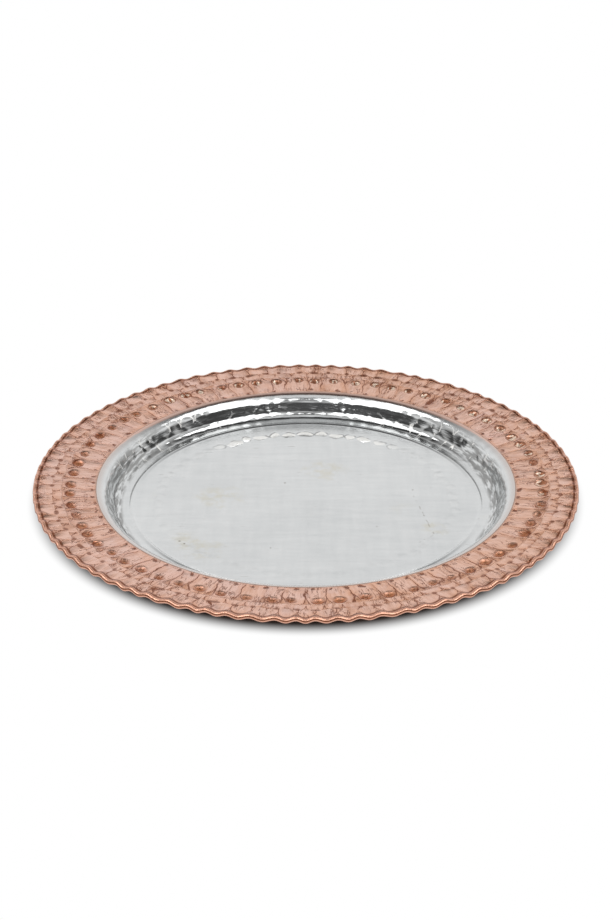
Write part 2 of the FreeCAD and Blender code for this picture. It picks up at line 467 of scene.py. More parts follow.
    def wall_dents(self, at: Points) -> Array:
        """Two rows of overlapping dents on the wall.

        Args:
            at: points on the tray.

        Returns:
            Depths, about 1 in the middle of a dent and 0 away from the wall.
        """
        upper = self.sizes.gauge + self.sizes.well_depth * self.wall_rise
        lower = upper - self.wall_reach * 1.05
        result = np.zeros_like(at.height)
        for row, offset, centre in ((self.wall_upper, 0.0, upper), (self.wall_lower, 0.5, lower)):
            index, place = row.locate(at.share + offset / row.count)
            across = (at.height - centre) / self.wall_reach + 0.12 * row.leans[index]
            dent = np.clip(1.0 - place**2 * 0.85 - across**2, 0.0, 1.0) * row.depths[index]
            result = np.maximum(result, dent)
        return np.where(at.radius > self.sizes.corner_centre[0], result, 0.0)

    def floor_dents(self, at: Points) -> Array:
        """A row of shallow dents inside the ring, deepest on the far side.

        Args:
            at: points on the tray.

        Returns:
            Depths, about 1 in the middle of a dent.
        """
        sway = self.floor_sway * self.row_drift.at(at.share, 0.0)
        centre = self.sizes.ring_radius - self.floor_inset + sway
        index, place = self.floor_cells.locate(at.share)
        across = (at.radius - centre) / self.floor_reach + 0.3 * self.floor_cells.leans[index]
        dent = np.clip(1.0 - place**2 * 0.95 - across**2, 0.0, 1.0)
        return (0.85 + 0.65 * np.sin(TURN * at.share)) * dent * self.floor_cells.depths[index]

    def floor_shift(self, at: Points) -> Array:
        """Shift of the floor: a slight sweep up to the corner, and a row of shallow dents.

        Args:
            at: points on the tray.

        Returns:
            The shifts upwards.
        """
        sweep = np.clip((at.radius - self.sizes.ring_radius) / self.sweep_width + 0.5, 0.0, 1.0)
        fade = np.clip(1.0 - (at.height - 2.0 * self.sizes.gauge) / self.sweep_height, 0.0, 1.0)
        return self.sweep_rise * sweep * sweep * fade - self.floor_depth * self.floor_dents(at)


class Detail(Enum):
    """How many points each stretch of a face's outline gets, from the middle to the shoulder."""

    HIDDEN = (1, 1, 2, 1, 3, 3, 3)
    PLAIN = (1, 2, 4, 1, 4, 4, 4)
    FINE = (2, 16, 8, 2, 8, 9, 7)


def line(start: Place, end: Place, count: int) -> list[Place]:
    """Evenly spaced places on the way from one to another, without the first."""
    return list(zip(steps(start[0], end[0], count), steps(start[1], end[1], count)))[1:]


def arc(centre: Place, reach: float, start: float, end: float, count: int) -> list[Place]:
    """Evenly spaced places on an arc, whose angles run from the outward direction upwards."""
    return [
        (centre[0] + reach * math.cos(angle), centre[1] + reach * math.sin(angle))
        for angle in steps(start, end, count)
    ]


def sheet_profile(sizes: TraySizes, level: float, detail: Detail) -> list[Place]:
    """Outline of one face of the sheet, from near the axis to the end of the shoulder.

    Args:
        sizes: the tray's sizes.
        level: height of the face over the sheet's underside.
        detail: how many points to give it.

    Returns:
        Pairs of radius and height.
    """
    inner, row, ring, flat, corner, wall, shoulder = detail.value
    quarter = TURN / 4
    places = [(sizes.hub_radius, level)]
    places += line(places[-1], (sizes.ring_radius - sizes.punched_width, level), inner)
    places += line(places[-1], (sizes.ring_radius - sizes.ring_width / 2, level), row)
    for offset in steps(-0.5, 0.5, ring)[1:]:
        rise = sizes.ring_rise * (0.5 + 0.5 * math.cos(TURN * offset))
        places.append((sizes.ring_radius + offset * sizes.ring_width, level + rise))
    centre, reach = sizes.corner_centre, sizes.corner_radius + sizes.gauge - level
    places += line(places[-1], (centre[0], level), flat)
    places += arc(centre, reach, -quarter, sizes.wall_angle - quarter, corner)[1:]
    centre, reach = sizes.shoulder_centre, sizes.shoulder_radius + level
    shoulder_arc = arc(centre, reach, sizes.wall_angle + quarter, sizes.rim_angle + quarter, shoulder)
    return places + line(places[-1], shoulder_arc[0], wall) + shoulder_arc[1:]


def curl_profile(sizes: TraySizes) -> list[Place]:
    """Outline of the rolled edge, over the top, round the outside, to the seam and back inside.

    Args:
        sizes: the tray's sizes.

    Returns:
        Pairs of radius and height.
    """
    centre = sizes.bead_radius, sizes.bead_height
    outside, bore = sizes.bead_thickness / 2, sizes.bead_thickness / 2 - sizes.gauge
    lift = sizes.bead_drop + sizes.gauge / 2
    start, seam = math.pi - math.asin(lift / outside), math.radians(-160)
    places = [(centre[0] + outside * math.cos(start) * 1.12, centre[1] + lift * 0.97)]
    places += arc(centre, outside, start - 0.12, seam, 15)
    places += arc(centre, bore, seam, math.radians(165), 5)
    places.append((centre[0] - bore * 1.05, centre[1] + sizes.bead_drop - sizes.gauge / 2))
    return places


def linked(name: str, data: bpy.types.ID) -> bpy.types.Object:
    """Make an object of a mesh, a lamp or a camera, and link it to the scene."""
    made = bpy.data.objects.new(name, data)
    bpy.context.scene.collection.objects.link(made)
    return made


def modelled(name: str, shape: bmesh.types.BMesh) -> bpy.types.Object:
    """Make an object of a finished shape."""
    mesh = bpy.data.meshes.new(name)
    shape.to_mesh(mesh)
    shape.free()
    return linked(name, mesh)


def turned(name: str, outline: Sequence[Place], around: int, closed: bool) -> bpy.types.Object:
    """Turn an outline once around the axis.

    Args:
        name: name of the piece.
        outline: pairs of radius and height.
        around: steps around the axis, a multiple of the sectors.
        closed: whether the last point joins the first; if not, both ends are capped flat.

    Returns:
        The new object, linked to the scene.
    """
    shape = bmesh.new()
    points = [shape.verts.new((radius, 0.0, height)) for radius, height in outline]
    pairs = list(zip(points, points[1:]))
    if closed:
        pairs.append((points[-1], points[0]))
    edges = [shape.edges.new(pair) for pair in pairs]
    spin = {"cent": (0.0, 0.0, 0.0), "axis": (0.0, 0.0, 1.0), "angle": TURN / SECTORS}
    bmesh.ops.spin(shape, geom=points + edges, steps=around // SECTORS, **spin)
    shape.normal_update()
    for edge in shape.edges:
        edge.smooth = edge.calc_face_angle(0.0) < SHARP_ANGLE
    sector = shape.verts[:] + shape.edges[:] + shape.faces[:]
    for index in range(1, SECTORS):
        copy = bmesh.ops.duplicate(shape, geom=sector)["geom"]
        places = [item for item in copy if isinstance(item, bmesh.types.BMVert)]
        bmesh.ops.rotate(shape, verts=places, matrix=Matrix.Rotation(TURN * index / SECTORS, 3, "Z"))
    bmesh.ops.remove_doubles(shape, verts=shape.verts, dist=JOIN_DISTANCE)
    bmesh.ops.holes_fill(shape, edges=shape.edges, sides=0)
    bmesh.ops.recalc_face_normals(shape, faces=shape.faces)
    for face in shape.faces:
        face.smooth = True
    return modelled(name, shape)


def read(items: bpy.types.bpy_prop_collection, key: str, width: int = 1, kind: type = float) -> Array:
    """Read a property of a mesh's vertices, corners or faces.

    Args:
        items: the vertices, corners or faces.
        key: name of the property.
        width: how many numbers it has.
        kind: type of its numbers.

    Returns:
        One row for each of its numbers.
    """
    values = np.empty(len(items) * width, dtype=kind)
    items.foreach_get(key, values)
    return values.reshape(-1, width).T


def polar(piece: bpy.types.Object) -> Points:
    """Where the vertices of a piece are."""
    x, y, height = read(piece.data.vertices, "co", 3)
    return Points(np.hypot(x, y), height, (np.arctan2(y, x) / TURN) % 1.0)


def reshape(piece: bpy.types.Object, shift: Callable[[Points], tuple[Array, Array]]) -> None:
    """Move every vertex of a turned piece outwards and upwards.

    Args:
        piece: the piece.
        shift: gives the two shifts at points.
    """
    at = polar(piece)
    out, up = shift(at)
    angle = at.share * TURN
    radius = at.radius + out
    moved = np.stack((radius * np.cos(angle), radius * np.sin(angle), at.height + up), axis=1)
    piece.data.vertices.foreach_set("co", moved.ravel())
    piece.data.update()


def lay_map(piece: bpy.types.Object, name: str, across: Array, up: Array) -> None:
    """Lay two values at every corner of every face down as a UV map."""
    layer = piece.data.uv_layers.new(name=name)
    layer.uv.foreach_set("vector", np.stack((across, up), axis=1).ravel())


def maths(operation: str, swapped: bool = False) -> Callable[..., "Field"]:
    """Make a method that adds a Math node.

    Args:
        operation: what the node does.
        swapped: whether the other value comes before this one.

    Returns:
        The method.
    """

    def method(self: "Field", *others: "Field | float") -> "Field":
        """Work out a new value from this one and others."""
        values = (*others, self) if swapped else (self, *others)
        return self.paint.node("ShaderNodeMath", {"operation": operation}, *values)

    return method


class Field:
    """A value on a shader socket, with arithmetic that adds Math nodes."""

    def __init__(self, paint: "Paint", socket: bpy.types.NodeSocket | None) -> None:
        """Wrap a socket of a material that is being painted."""
        self.paint = paint
        self.socket = socket

    __add__ = __radd__ = maths("ADD")
    __sub__ = maths("SUBTRACT")
    __rsub__ = maths("SUBTRACT", swapped=True)
    __mul__ = __rmul__ = maths("MULTIPLY")
    __truediv__ = maths("DIVIDE")
    __rtruediv__ = maths("DIVIDE", swapped=True)
    __abs__ = maths("ABSOLUTE")
    at_most = maths("MINIMUM")
    at_least = maths("MAXIMUM")
    root = maths("SQRT")
    whole = maths("FLOOR")
    part = maths("FRACT")
    angle_to = maths("ARCTAN2")

    def stepped(self, low: float, high: float) -> "Field":
        """Smooth step from 0 at low to 1 at high.

        Args:
            low: the value that gives 0, which may be the larger one.
            high: the value that gives 1.

        Returns:
            The step.
        """
        if low > high:
            return 1.0 - self.stepped(high, low)
        settings = {"interpolation_type": "SMOOTHSTEP"}
        return self.paint.node("ShaderNodeMapRange", settings, self, low, high, 0.0, 1.0)

    def band(self, low: float, start: float, end: float, high: float) -> "Field":
        """Rise from 0 at low to 1 at start, and fall from 1 at end to 0 at high."""
        return self.stepped(low, start) * self.stepped(high, end)

    def clamped(self) -> "Field":
        """The value kept between 0 and 1."""
        return self.at_least(0.0).at_most(1.0)


class Paint:
    """Builds one procedural material, from a base colour that further colours are laid over."""

    def __init__(self, name: str, library: bpy.types.bpy_prop_collection | None = None) -> None:
        """Start an empty material.

        Args:
            name: its name.
            library: where it is kept, if it isn't a material but a world.
        """
        self.owner = (bpy.data.materials if library is None else library).new(name)
        self.owner.use_nodes = True
        self.tree = self.owner.node_tree
        self.tree.nodes.clear()
        self.base: Field | Colour = WHITE

    def node(
        self,
        kind: str,
        settings: dict[str, object],
        *values: object,
        output: int | str = 0,
        **named: object,
    ) -> Field:
        """Add a node.

        Args:
            kind: the node's type.
            settings: its properties, set before its sockets.
            *values: values or links of its first sockets, in order; None leaves one as it is.
            output: the output to return.
            **named: values or links of sockets by name, with spaces as underscores.

        Returns:
            The wanted output.
        """
        made = self.tree.nodes.new(kind)
        for key, value in settings.items():
            setattr(made, key, value)
        sockets = [(made.inputs[index], value) for index, value in enumerate(values)]
        sockets += [(made.inputs[key.replace("_", " ")], value) for key, value in named.items()]
        for socket, value in sockets:
            if isinstance(value, Field):
                self.tree.links.new(value.socket, socket)
            elif value is not None:
                socket.default_value = value
        return Field(self, made.outputs[output] if made.outputs else None)

    def parts(self, where: Field, axes: str = "XYZ") -> list[Field]:
        """The parts of a vector along some axes."""
        return [self.node("ShaderNodeSeparateXYZ", {}, where, output=axis) for axis in axes]

    def place(self) -> list[Field]:
        """The Object coordinates: their vector, its three parts, and the distance from the axis."""
        where = self.node("ShaderNodeTexCoord", {}, output="Object")
        x, y, z = self.parts(where)
        return [where, x, y, z, (x * x + y * y).root()]

    def map_place(self, name: str) -> list[Field]:
        """The two values of one of the piece's own maps."""
        return self.parts(self.node("ShaderNodeUVMap", {"uv_map": name}), "XY")

    def ray(self, kind: str) -> Field:
        """1 for light that goes to rays of one kind, such as the camera's, and 0 for any other."""
        return self.node("ShaderNodeLightPath", {}, output=kind)

    def join(self, x: Field | float, y: Field | float, z: Field | float) -> Field:
        """Vector from three values."""
        return self.node("ShaderNodeCombineXYZ", {}, x, y, z)

    def grain(self, where: Field, scale: float, detail: float = 2.0, roughness: float = 0.5) -> Field:
        """Noise from 0 to 1 at a place."""
        sizes = {"Scale": scale, "Detail": detail, "Roughness": roughness}
        return self.node("ShaderNodeTexNoise", {}, Vector=where, **sizes)

    def chance(self, first: Field, second: Field) -> Field:
        """A number from 0 to 1 for each pair of whole numbers."""
        where = self.join(first, second, 0.0)
        return self.node("ShaderNodeTexWhiteNoise", {"noise_dimensions": "2D"}, Vector=where)

    def mix(self, share: Field | float, first: Field | Colour, second: Field | Colour) -> Field:
        """Mix of two colours."""
        others = [None] * 5
        return self.node("ShaderNodeMix", {"data_type": "RGBA"}, share, *others, first, second, output=2)

    def cover(self, share: Field | float, colour: Colour) -> None:
        """Lay a colour over the base."""
        self.base = self.mix(share, self.base, colour)

    def glow(self, colour: Field | Colour = WHITE) -> Field:
        """Light of its own, as bright as its colour."""
        return self.node("ShaderNodeEmission", {}, colour, 1.0)

    def surface(self, shader: Field) -> bpy.types.Material:
        """Close the material with a shader."""
        self.node("ShaderNodeOutputMaterial", {}, shader)
        return self.owner

    def metal(self, height: Field | None = None, **sockets: object) -> bpy.types.Material:
        """Close the material as a metal of the base colour.

        Args:
            height: relief in metres, finer than the mesh.
            **sockets: values or links of further sockets of the Principled shader.

        Returns:
            The material.
        """
        if height is not None:
            sockets["Normal"] = self.node("ShaderNodeBump", {}, Strength=1.0, Distance=1.0, Height=height)
        shader = self.node("ShaderNodeBsdfPrincipled", {}, Base_Color=self.base, Metallic=1.0, **sockets)
        return self.surface(shader)


@dataclass(frozen=True)
class CopperFinish:
    """Hammered copper, bright on the flats and brown in the dimples, with painted light and shade on its
    hammer marks and rolled edge.
    """

    pink: Colour = (0.82, 0.515, 0.42, 1.0)
    scale_highlight: Colour = (0.90, 0.64, 0.55, 1.0)
    orange: Colour = (0.83, 0.455, 0.31, 1.0)
    amber: Colour = (0.77, 0.42, 0.27, 1.0)
    mauve: Colour = (0.64, 0.44, 0.40, 1.0)
    brown: Colour = (0.50, 0.21, 0.10, 1.0)
    hollow: Colour = (0.50, 0.19, 0.085, 1.0)
    dark: Colour = (0.22, 0.06, 0.022, 1.0)
    rolled: Colour = (0.70, 0.38, 0.27, 1.0)
    painted_glint: Colour = (1.0, 0.80, 0.64, 1.0)
    under: Colour = (0.42, 0.24, 0.17, 1.0)
    tinned: Colour = (0.72, 0.62, 0.56, 1.0)
    roughness: float = 0.22
    dot_count: float = 92.0
    dot_radius: float = 0.126

    def scales(
        self, paint: Paint, rows: Field, outer: Field, inner: Field, wobble: Field
    ) -> tuple[Field, Field]:
        """Rounded scales struck over one another, a wide row inside and two narrow ones outside.

        Args:
            paint: the material's nodes.
            rows: place across the rows.
            outer: place along the outer cells.
            inner: place along the inner cells.
            wobble: unsteadiness of the hammer, about -0.5 to 0.5.

        Returns:
            A measure that is 1 on a scale's edge and more outside it, and a number for each scale.
        """
        on_outer = rows.stepped(3.28, 3.42)
        on_last = rows.stepped(3.96, 4.04)
        on_inner = 1.0 - on_outer
        on_middle = 1.0 - on_last
        along = on_outer * (outer + 0.5 * on_middle) + on_inner * inner + wobble * 0.17
        inner_rise = (rows - 1.0) / 2.42
        outer_rise = on_middle * ((rows - 3.15) / 0.92) + on_last * ((rows - 4.05) / 0.98)
        rise = (on_inner * inner_rise + on_outer * outer_rise + wobble * 0.22).at_least(0.0)
        side = abs(along.part() - 0.5) * 2.0
        measure = side * side * side + rise * rise * rise
        return measure, paint.chance(along.whole(), (rows + 0.6).whole())

    def material(self, work: HammerWork) -> bpy.types.Material:
        """Build the material for a sheet with the given hammer work.

        Args:
            work: the hammer work, for the places of its rows.

        Returns:
            The material.
        """
        paint = Paint("hammered_copper")
        where, x, y, _, radius = paint.place()
        outer, rows = paint.map_place("outer_cells")
        inner, dimple = paint.map_place("inner_cells")
        # The underside, and the punch marks, less than 0 where painted shade goes down the rolled edge
        under, punched = paint.map_place("underside_punches_and_bead_shade")
        above = 1.0 - under
        ring = work.sizes.outer_radius * 0.88
        around_x, around_y = x / radius * ring, y / radius * ring
        fibres = paint.join(around_x, around_y, radius * 0.22)
        wobble = paint.grain(where, 260.0, 3.0) - 0.5
        broken = paint.grain(paint.join(around_x, around_y, radius * 0.6), 150.0, 2.0)

        # Lines that the hammer left between its marks, and folds in the metal, which get painted shade
        measure, chance = self.scales(paint, rows, outer, inner, wobble)
        on_rim = rows.band(0.6, 1.2, 4.85, 5.05) * above
        edges = abs(measure - 1.0).stepped(0.20, 0.03) * broken.stepped(0.34, 0.50) * on_rim
        edges = edges * (1.0 - rows.band(3.18, 3.30, 3.40, 3.52))
        valleys = measure.stepped(0.80, 1.5) * on_rim
        wrinkles = abs(paint.grain(fibres, 300.0, 3.0, 0.62) - 0.5).stepped(0.026, 0.006)
        wrinkles = wrinkles * paint.grain(where, 90.0, 1.0).stepped(0.46, 0.58)
        wrinkles = wrinkles * rows.stepped(0.05, 0.3) * above

        # Dots along the tin
        turn = y.angle_to(x) / TURN
        dot_ring = work.sizes.shoulder_end + work.plain_width
        dot_wobble = paint.grain(where, 190.0, 2.0) - 0.5
        dot_place = (turn * self.dot_count + dot_wobble * 0.8).part() - 0.5
        dot_across = (radius - dot_ring) * (self.dot_count / TURN / self.dot_radius) + dot_wobble * 0.5
        dots = (dot_place * dot_place + dot_across * dot_across).root().stepped(0.21, 0.09)
        dots = dots * paint.grain(where, 75.0, 1.0).stepped(0.40, 0.48) * above

        # Flats between the lines
        tone = paint.grain(where, 42.0, 3.0)
        mottle = paint.grain(fibres, 620.0, 3.0, 0.6)
        fleck = paint.grain(where, 1000.0, 3.0, 0.6)
        warmth = x.stepped(-0.02, 0.04) * paint.grain(where, 24.0, 2.0).stepped(0.30, 0.55)
        haze = paint.grain(where, 110.0, 3.0).stepped(0.48, 0.68)
        stain = paint.grain(fibres, 90.0, 4.0, 0.65).stepped(0.54, 0.70)
        paint.base = paint.mix((tone * 1.5 + chance * 0.6 - 0.65).clamped(), self.pink, self.orange)
        paint.cover(warmth * 0.6, self.amber)
        paint.cover(haze * 0.4, self.mauve)
        # Painted highlight: each scale lighter in its middle
        paint.cover((1.0 - measure * 1.5).clamped() * 0.45 * on_rim, self.scale_highlight)
        paint.cover(((mottle - 0.45).at_least(0.0) * 1.6).clamped(), self.brown)
        # Brown stains, and painted shade in the valleys between the scales
        paint.cover((stain * 0.45).at_least(valleys * 0.5), self.brown)

        # Dimples: brown pits, with painted shade on the outer side of those near the front and round the
        # rim of all, and painted darkening and painted glints in those far from the front
        ragged = dimple + wobble * (0.5 + 0.5 * chance) * dimple.stepped(0.0, 0.15)
        patina = paint.grain(where, 300.0, 2.0).stepped(0.35, 0.6)
        hollow = (ragged * 1.3).clamped() * (0.75 + 0.25 * patina)
        past_middle = (radius - (work.sizes.outer_radius - work.dimple_inset)).stepped(-0.0006, 0.002)
        crescent = ragged.band(0.0, 0.28, 0.45, 0.95) * past_middle
        halo = ragged.band(0.02, 0.16, 0.30, 0.60)
        away = (y + x * 0.5).stepped(0.0, 0.08)
        sparks = paint.grain(paint.join(around_x, around_y, radius * 0.5), 460.0, 1.0).stepped(0.49, 0.56)
        paint.cover(hollow * 0.95, self.hollow)
        # Painted shade: a crescent on the outer side near the front, and a dark rim that is strongest far
        # from the front
        paint.cover((crescent * (1.0 - away) * 0.9).at_least(halo * (0.15 + 0.5 * away)), self.dark)
        # Painted shade: the dimples far from the front made darker
        paint.cover(hollow * 0.45 * away, self.dark)
        # Painted glints in the dimples far from the front
        paint.cover(sparks * dimple.stepped(0.25, 0.45) * away * 0.95, self.painted_glint)

        # Punch marks and all the lines
        smudge = (punched + wobble * 0.6 * punched.stepped(0.0, 0.2)).stepped(0.15, 0.75) * above
        paint.cover(smudge * 0.8, self.dark)
        # Painted shade in the creases along the scales' edges and the folds, and the dark dots
        paint.cover((edges * 0.88).at_least(wrinkles * 0.75).at_least(dots * 0.9), self.dark)

        # The rolled edge, a darker copper, with painted shade along its seam, a painted dark reflection in
        # a band round its outside, and painted shade on its lower outside
        on_roll = rows.stepped(5.02, 5.10) * above
        seam = rows.band(4.90, 4.98, 5.07, 5.13)
        fall = 0.0 - punched
        bead_dark_band = fall.band(0.0, 0.20, 0.60, 0.90)
        bead_underside_shade = fall.stepped(1.45, 1.70)
        paint.cover(on_roll, self.rolled)
        # Painted shade and painted dark reflection on the rolled edge
        paint.cover((seam * 0.9).at_least(bead_dark_band * 0.9).at_least(bead_underside_shade * 0.95), self.dark)

        # The underside, and the ragged margin of the tin
        margin = (radius + wobble * 0.0016 - work.sizes.shoulder_end).stepped(0.0011, 0.0001)
        paint.cover(under * 0.95, self.under)
        paint.cover(margin * 0.7 * above, self.tinned)

        relief = mottle * 0.00017 + fleck * 0.00005 + tone * 0.0012
        relief = relief - edges * 0.00022 - wrinkles * 0.00014 - dots * 0.00035 - valleys * 0.00022
        rough = self.roughness + edges * 0.25 + tone * 0.08 + under * 0.2 + hollow * 0.08 + on_roll * 0.08
        return paint.metal(relief, Roughness=rough)


@dataclass(frozen=True)
class TinFinish:
    """Tin wiped on by hand: soft and bright, with dark streaks on the wall, wiping marks and a few stains.
    """

    bright: Colour = (0.77, 0.78, 0.78, 1.0)
    grey: Colour = (0.66, 0.675, 0.68, 1.0)
    streak_and_shade: Colour = (0.30, 0.30, 0.295, 1.0)
    thin: Colour = (0.63, 0.56, 0.525, 1.0)
    bare: Colour = (0.84, 0.56, 0.47, 1.0)
    painted_highlight: Colour = (0.96, 0.95, 0.92, 1.0)
    stain: Colour = (0.66, 0.62, 0.50, 1.0)
    speck: Colour = (0.25, 0.22, 0.18, 1.0)
    roughness: float = 0.14
    stains: tuple[Spot, ...] = (
        (-0.053, 0.004, 0.019),
        (-0.068, -0.050, 0.014),
        (-0.057, -0.060, 0.015),
        (0.012, 0.037, 0.017),
        (0.074, -0.036, 0.010),
    )
    specks: tuple[Spot, ...] = (
        (-0.072, -0.050, 0.0012),
        (-0.069, -0.053, 0.0008),
        (-0.0126, 0.021, 0.0009),
        (0.041, -0.033, 0.0006),
        (0.064, 0.012, 0.0008),
        (0.069, -0.020, 0.0009),
        (-0.020, -0.058, 0.0007),
    )
    scratch: tuple[Place, ...] = ((0.0625, 0.0133), (0.0735, -0.0429), (0.0633, -0.0522))

    def spots(self, x: Field, y: Field, wobble: Field, places: Iterable[Spot]) -> Field:
        """Soft-edged spots at places on the floor.

        Args:
            x: position.
            y: position.
            wobble: unsteadiness of the outline, about -0.5 to 0.5.
            places: x, y and radius of each spot.

        Returns:
            A weight from 0 to 1.
        """
        spots = []
        for at_x, at_y, reach in places:
            across, along = (x - at_x) / reach, (y - at_y) / reach
            spots.append(((across * across + along * along).root() + wobble * 1.3).stepped(1.0, 0.2))
        return reduce(Field.at_least, spots)

    def scratched(self, x: Field, y: Field, wobble: Field) -> Field:
        """Fine scratch along its points.

        Args:
            x: position.
            y: position.
            wobble: unsteadiness of the line, about -0.5 to 0.5.

        Returns:
            A weight from 0 to 1.
        """
        lines = []
        for (start_x, start_y), (end_x, end_y) in zip(self.scratch, self.scratch[1:]):
            length = math.hypot(end_x - start_x, end_y - start_y)
            way_x, way_y = (end_x - start_x) / length, (end_y - start_y) / length
            along = (x - start_x) * way_x + (y - start_y) * way_y
            across = abs((x - start_x) * way_y - (y - start_y) * way_x + wobble * 0.0012)
            lines.append(across.stepped(0.0006, 0.0002) * along.band(0.0, 0.002, length - 0.002, length))
        return reduce(Field.at_least, lines)

    def material(self, sizes: TraySizes) -> bpy.types.Material:
        """Build the material.

        Args:
            sizes: the tray's sizes.

        Returns:
            The material.
        """
        paint = Paint("wiped_tin")
        where, x, y, z, radius = paint.place()
        floor_dent, wall_dent = paint.map_place("dents")
        across, along = x / radius, y / radius
        wobble = paint.grain(where, 210.0, 3.0, 0.6) - 0.5

        # Wiping marks, mostly across the tray
        wipe = paint.grain(paint.join(x * 0.35, y * 2.6, z), 60.0, 5.0, 0.72)
        cross_wipe = paint.grain(paint.join(x * 3.0, y * 0.4, z), 55.0, 3.0, 0.6)
        cloud = paint.grain(where, 16.0, 4.0, 0.6)
        tone = wipe * 1.5 + cross_wipe * 0.9 + cloud - 1.3
        paint.base = paint.mix(tone.clamped(), self.bright, self.grey)

        # Stains, scuffs, specks and a scratch
        mottle = paint.grain(where, 120.0, 4.0, 0.65).stepped(0.40, 0.62)
        stains = self.spots(x, y, wobble, self.stains) * mottle
        patches = paint.grain(where, 26.0, 3.0, 0.55).stepped(0.64, 0.78)
        scuffs = paint.grain(paint.join(x * 0.5, y * 3.0, z), 150.0, 3.0, 0.6).stepped(0.68, 0.74)
        specks = self.spots(x, y, wobble, self.specks)
        scratch = self.scratched(x, y, wobble) * paint.grain(where, 240.0, 2.0).stepped(0.46, 0.60)
        paint.cover(stains * 0.50 + patches * 0.15, self.stain)
        paint.cover(scuffs * 0.30, self.speck)
        paint.cover((specks * 0.8).at_least(scratch * 0.35), self.speck)

        # Streaks drawn round the wall, most of them at the sides
        floor, mouth, end = sizes.floor_radius, sizes.mouth_radius, sizes.shoulder_end
        on_wall = radius.band(floor - 0.0045, floor - 0.0015, mouth - 0.002, mouth + 0.001)
        round_x, round_y = across * mouth * 0.16, along * mouth * 0.16
        drawn = paint.grain(paint.join(round_x, round_y, radius * 0.6 + z), 480.0, 2.0, 0.6)
        paint.cover(drawn.stepped(0.37, 0.58) * on_wall * (0.30 + 0.70 * abs(across)), self.streak_and_shade)

        # The margin on the rim: thin everywhere, and worn through on the far side
        worn_punched_shaded = radius + wobble * 0.0012 - (end - 0.0028 * y.stepped(0.02, 0.10))
        paint.cover(radius.stepped(mouth, end - 0.0005) * (0.45 + cloud * 0.6), self.thin)
        paint.cover(worn_punched_shaded.stepped(-0.0006, 0.0006) * y.stepped(0.0, 0.03) * 0.9, self.bare)

        # Dents, most of them on the far side: painted highlights in the floor's hollows with broken
        # outlines of painted shade, and painted highlight arcs on the wall's far corners
        dent = floor_dent + wobble * 0.9 * floor_dent.stepped(0.0, 0.1)
        far = along.stepped(0.70, 0.90).at_least(0.06)
        outline = dent.band(0.02, 0.14, 0.25, 0.50) * paint.grain(where, 150.0, 3.0).stepped(0.46, 0.54)
        arcs = (wall_dent + wobble * 0.2).band(0.08, 0.16, 0.24, 0.36)
        arcs = arcs * on_wall * paint.grain(where, 130.0, 2.0).stepped(0.50, 0.58)
        arcs = arcs * abs(across).stepped(0.30, 0.55) * along.stepped(0.1, 0.4)
        # Painted highlights in the floor's dents
        paint.cover(dent.stepped(0.25, 0.50) * far * 0.85, self.painted_highlight)
        # Painted shade round the floor's dents
        paint.cover(outline * far * 0.85, self.streak_and_shade)
        # Painted highlight arcs on the wall
        paint.cover(arcs * 0.8, self.painted_highlight)

        relief = wipe * 0.00003 + cross_wipe * 0.00002 + paint.grain(where, 150.0, 3.0) * 0.00005
        relief = relief + on_wall * drawn * 0.00007 - specks * 0.00005
        rough = self.roughness + cloud * 0.10 - on_wall * 0.10 + arcs * 0.35
        return paint.metal(relief, Roughness=rough)


@dataclass(frozen=True)
class WireFinish:
    """Drawn wire inside the rolled edge."""

    steel: Colour = (0.35, 0.33, 0.31, 1.0)
    roughness: float = 0.4

    def material(self) -> bpy.types.Material:
        """Build the material.

        Returns:
            The material.
        """
        paint = Paint("drawn_wire")
        paint.base = self.steel
        return paint.metal(Roughness=self.roughness + paint.grain(paint.place()[0], 300.0) * 0.2)


@dataclass
class TurnedPiece:
    """A piece of the tray: turned once around the axis, then moved by the hammer work."""

    sizes: TraySizes
    work: HammerWork
    around: int = 860
    name: ClassVar[str]
    slot: ClassVar[str]
    nodes: ClassVar[tuple[str, ...]]
    closed: ClassVar[bool] = False

    def outline(self) -> list[Place]:
        """Path round the piece's section, as pairs of radius and height."""
        raise NotImplementedError

    def shift(self, at: Points) -> tuple[Array, Array]:
        """Shifts of the plain piece's surface at points, outwards and upwards."""
        raise NotImplementedError

    def mark(self, piece: bpy.types.Object) -> None:
        """Lay down the UV maps that the finish reads, before the surface is moved."""

    def build(self, material: bpy.types.Material) -> bpy.types.Object:
        """Build and dress the piece.

        Args:
            material: its material.

        Returns:
            The piece, which rides on the tray's one body.
        """
        piece = turned(self.name, self.outline(), self.around, self.closed)
        self.mark(piece)
        reshape(piece, self.shift)
        piece.data.materials.append(material)
        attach(piece, "root")
        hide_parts(*self.nodes)
        count = sum(len(face.vertices) - 2 for face in piece.data.polygons)
        LOG.info("%s: %d triangles, slot %s", piece.name, count, self.slot)
        return piece


